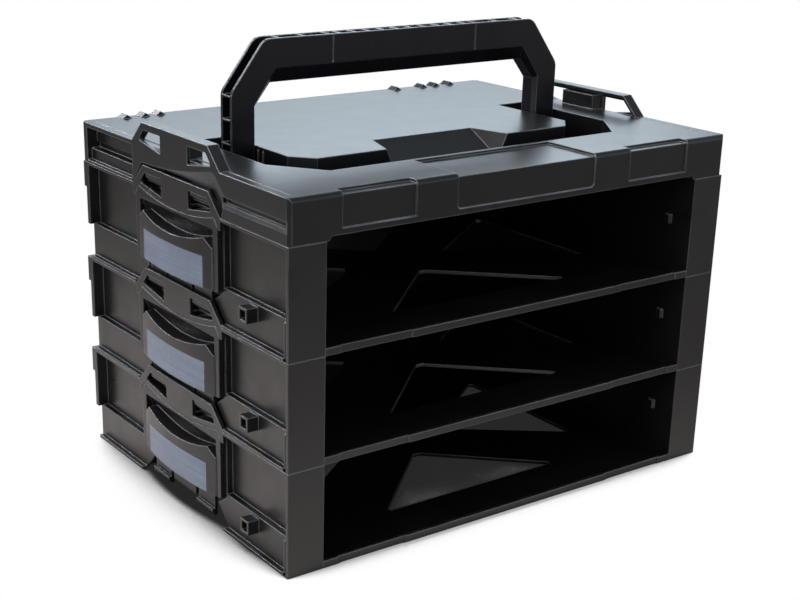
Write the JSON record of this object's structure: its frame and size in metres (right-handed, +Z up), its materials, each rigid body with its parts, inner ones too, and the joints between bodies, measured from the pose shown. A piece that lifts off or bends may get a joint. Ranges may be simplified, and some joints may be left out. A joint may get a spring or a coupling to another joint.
{
  "type": "tool case drawer rack",
  "caption": "Open rack of stacked plastic bays for slide-in tool cases, with click latches at both sides and a lid that carries a folding handle.",
  "frame": {"origin": "bottom centre of the whole part's bounding box, on the ground", "axes": "+X to the right along the front, +Y from the open front to the rear wall, +Z up"},
  "size_m": [0.4554, 0.334, 0.38],
  "materials": {
    "frame": "fine grained black moulding",
    "lid": "satin black moulding",
    "lever": "fine grained black moulding",
    "handle": "satin black moulding",
    "label": "smooth blank card under film",
    "rod": "drawn round bar",
    "spring": "spring strip"
  },
  "bodies": {
    "base": {"floor_lower": "frame", "rear_wall_lower": "frame", "side_left_lower": "frame", "side_right_lower": "frame", "latch_rod_left_lower": "rod", "latch_spring_left_lower": "spring", "latch_rod_right_lower": "rod", "latch_spring_right_lower": "spring", "floor_middle": "frame", "rear_wall_middle": "frame", "side_left_middle": "frame", "side_right_middle": "frame", "latch_rod_left_middle": "rod", "latch_spring_left_middle": "spring", "latch_rod_right_middle": "rod", "latch_spring_right_middle": "spring", "floor_upper": "frame", "rear_wall_upper": "frame", "side_left_upper": "frame", "side_right_upper": "frame", "latch_rod_left_upper": "rod", "latch_spring_left_upper": "spring", "latch_rod_right_upper": "rod", "latch_spring_right_upper": "spring", "lid": "lid", "handle_pin_left": "rod", "handle_pin_right": "rod"},
    "handle": {"handle": "handle"},
    "latch_left_lower": {"latch_left_lower": "lever", "label_left_lower": "label"},
    "latch_right_lower": {"latch_right_lower": "lever", "label_right_lower": "label"},
    "latch_left_middle": {"latch_left_middle": "lever", "label_left_middle": "label"},
    "latch_right_middle": {"latch_right_middle": "lever", "label_right_middle": "label"},
    "latch_left_upper": {"latch_left_upper": "lever", "label_left_upper": "label"},
    "latch_right_upper": {"latch_right_upper": "lever", "label_right_upper": "label"}
  },
  "joints": [
    {"name": "handle_fold", "type": "hinge", "parent": "base", "child": "handle", "pos_m": [0, 0, 0.2745], "axis": [1, 0, 0], "range_deg": [0, 90]},
    {"name": "latch_left_lower_tilt", "type": "hinge", "parent": "base", "child": "latch_left_lower", "pos_m": [-0.2125, 0, 0.041], "axis": [0, -1, 0], "range_deg": [0, 8], "stiffness_Nm_per_rad": 0.6, "springref_deg": -14.32, "deforming": ["latch_spring_left_lower"]},
    {"name": "latch_right_lower_tilt", "type": "hinge", "parent": "base", "child": "latch_right_lower", "pos_m": [0.2125, 0, 0.041], "axis": [0, 1, 0], "range_deg": [0, 8], "stiffness_Nm_per_rad": 0.6, "springref_deg": -14.32, "deforming": ["latch_spring_right_lower"]},
    {"name": "latch_left_middle_tilt", "type": "hinge", "parent": "base", "child": "latch_left_middle", "pos_m": [-0.2125, 0, 0.1277], "axis": [0, -1, 0], "range_deg": [0, 8], "stiffness_Nm_per_rad": 0.6, "springref_deg": -14.32, "deforming": ["latch_spring_left_middle"]},
    {"name": "latch_right_middle_tilt", "type": "hinge", "parent": "base", "child": "latch_right_middle", "pos_m": [0.2125, 0, 0.1277], "axis": [0, 1, 0], "range_deg": [0, 8], "stiffness_Nm_per_rad": 0.6, "springref_deg": -14.32, "deforming": ["latch_spring_right_middle"]},
    {"name": "latch_left_upper_tilt", "type": "hinge", "parent": "base", "child": "latch_left_upper", "pos_m": [-0.2125, 0, 0.2144], "axis": [0, -1, 0], "range_deg": [0, 8], "stiffness_Nm_per_rad": 0.6, "springref_deg": -14.32, "deforming": ["latch_spring_left_upper"]},
    {"name": "latch_right_upper_tilt", "type": "hinge", "parent": "base", "child": "latch_right_upper", "pos_m": [0.2125, 0, 0.2144], "axis": [0, 1, 0], "range_deg": [0, 8], "stiffness_Nm_per_rad": 0.6, "springref_deg": -14.32, "deforming": ["latch_spring_right_upper"]}
  ]
}
